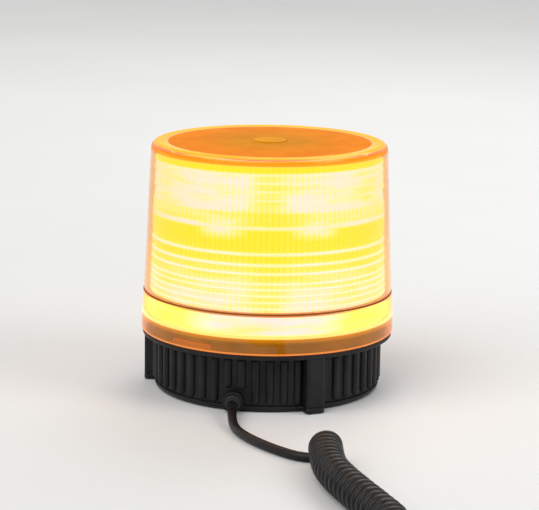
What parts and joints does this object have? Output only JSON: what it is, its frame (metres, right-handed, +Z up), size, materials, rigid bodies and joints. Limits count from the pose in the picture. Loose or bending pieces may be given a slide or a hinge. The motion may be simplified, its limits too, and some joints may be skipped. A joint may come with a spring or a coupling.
{
  "type": "magnetic strobe beacon",
  "caption": "Round magnetic strobe beacon: amber lens over a lit prismatic drum, black ribbed base, curly cord with accessory plug.",
  "frame": {"origin": "centre of the magnetic foot's rubber face, on the surface that the beacon stands on", "axes": "+Z up along the beacon's axis, -Y towards the side where the cord leaves, +X to the right seen from that side"},
  "size_m": [0.1503, 0.4174, 0.1243],
  "materials": {
    "black_housing": "fine satin grain",
    "amber_lens": "clear amber, polished",
    "lit_lens": "clear, prismatic, lit from within",
    "black_rubber": "matte",
    "black_cord": "satin sheath",
    "plated_steel": "zinc plated",
    "ferrite": "dull sintered",
    "white_plastic": "white, semi-gloss",
    "clear_glass": "clear",
    "circuit_board": "solder mask",
    "copper_winding": "enamelled",
    "capacitor_sleeve": "shrink sleeve",
    "black_package": "moulded",
    "bare_aluminium": "bare",
    "film_case": "dipped",
    "resistor_coat": "lacquered",
    "wire_sheath": "matte",
    "plug_plastic": "satin",
    "plug_brass": "nickel plated",
    "red_rocker": "moulded"
  },
  "bodies": {
    "base": {"base_housing": "black_housing", "bottom_plate": "black_housing", "rubber_pad": "black_rubber", "lens_gasket": "black_rubber", "cable_grommet": "black_rubber", "plug_boot": "black_rubber", "cord_inner": "black_cord", "cord_lead": "black_cord", "cord_coil": "black_cord", "cord_tail": "black_cord", "magnet_cup": "plated_steel", "magnet_bolt": "plated_steel", "magnet_washer": "plated_steel", "magnet_nut": "plated_steel", "plate_screws": "plated_steel", "deck_screws": "plated_steel", "board_screws": "plated_steel", "clamp_screws": "plated_steel", "plug_screws": "plated_steel", "fuse_spring": "plated_steel", "trigger_wire": "plated_steel", "tube_electrodes": "plated_steel", "magnet": "ferrite", "transformer_core": "ferrite", "reflector_deck": "white_plastic", "tube_socket": "white_plastic", "flash_tube": "clear_glass", "driver_board": "circuit_board", "transformer_winding": "copper_winding", "trigger_coil": "copper_winding", "storage_capacitor": "capacitor_sleeve", "power_transistor": "black_package", "cord_clamp": "black_package", "fuse_sleeve": "black_package", "switch_case": "black_package", "heat_sink": "bare_aluminium", "film_capacitor": "film_case", "board_resistors": "resistor_coat", "power_wires": "wire_sheath", "plug_upper_shell": "plug_plastic", "plug_lower_shell": "plug_plastic", "plug_nose_cap": "plug_plastic"},
    "lens": {"outer_lens": "amber_lens", "inner_lens": "lit_lens"},
    "tip": {"plug_tip": "plug_brass", "fuse_glass": "clear_glass", "fuse_caps": "plug_brass"},
    "left_contact": {"side_contact_left": "plated_steel"},
    "right_contact": {"side_contact_right": "plated_steel"},
    "rocker": {"switch_rocker": "red_rocker"}
  },
  "joints": [
    {"name": "lens_twist", "type": "hinge", "parent": "base", "child": "lens", "pos_m": [0, 0, 0.0299], "axis": [0, 0, 1], "range_deg": [0, 24]},
    {"name": "tip_press", "type": "slide", "parent": "base", "child": "tip", "axis": [-1, 0, 0], "range_m": [0, 0.0035], "stiffness_N_per_m": 600, "springref_m": -0.003, "deforming": ["fuse_spring"]},
    {"name": "left_contact_press", "type": "slide", "parent": "base", "child": "left_contact", "axis": [0, -1, 0], "range_m": [0, 0.0011], "stiffness_N_per_m": 800, "springref_m": -0.001},
    {"name": "right_contact_press", "type": "slide", "parent": "base", "child": "right_contact", "axis": [0, 1, 0], "range_m": [0, 0.0011], "stiffness_N_per_m": 800, "springref_m": -0.001},
    {"name": "switch_rock", "type": "hinge", "parent": "base", "child": "rocker", "pos_m": [0.003, -0.3414, 0.0247], "axis": [0, 1, 0], "range_deg": [0, 18]}
  ]
}
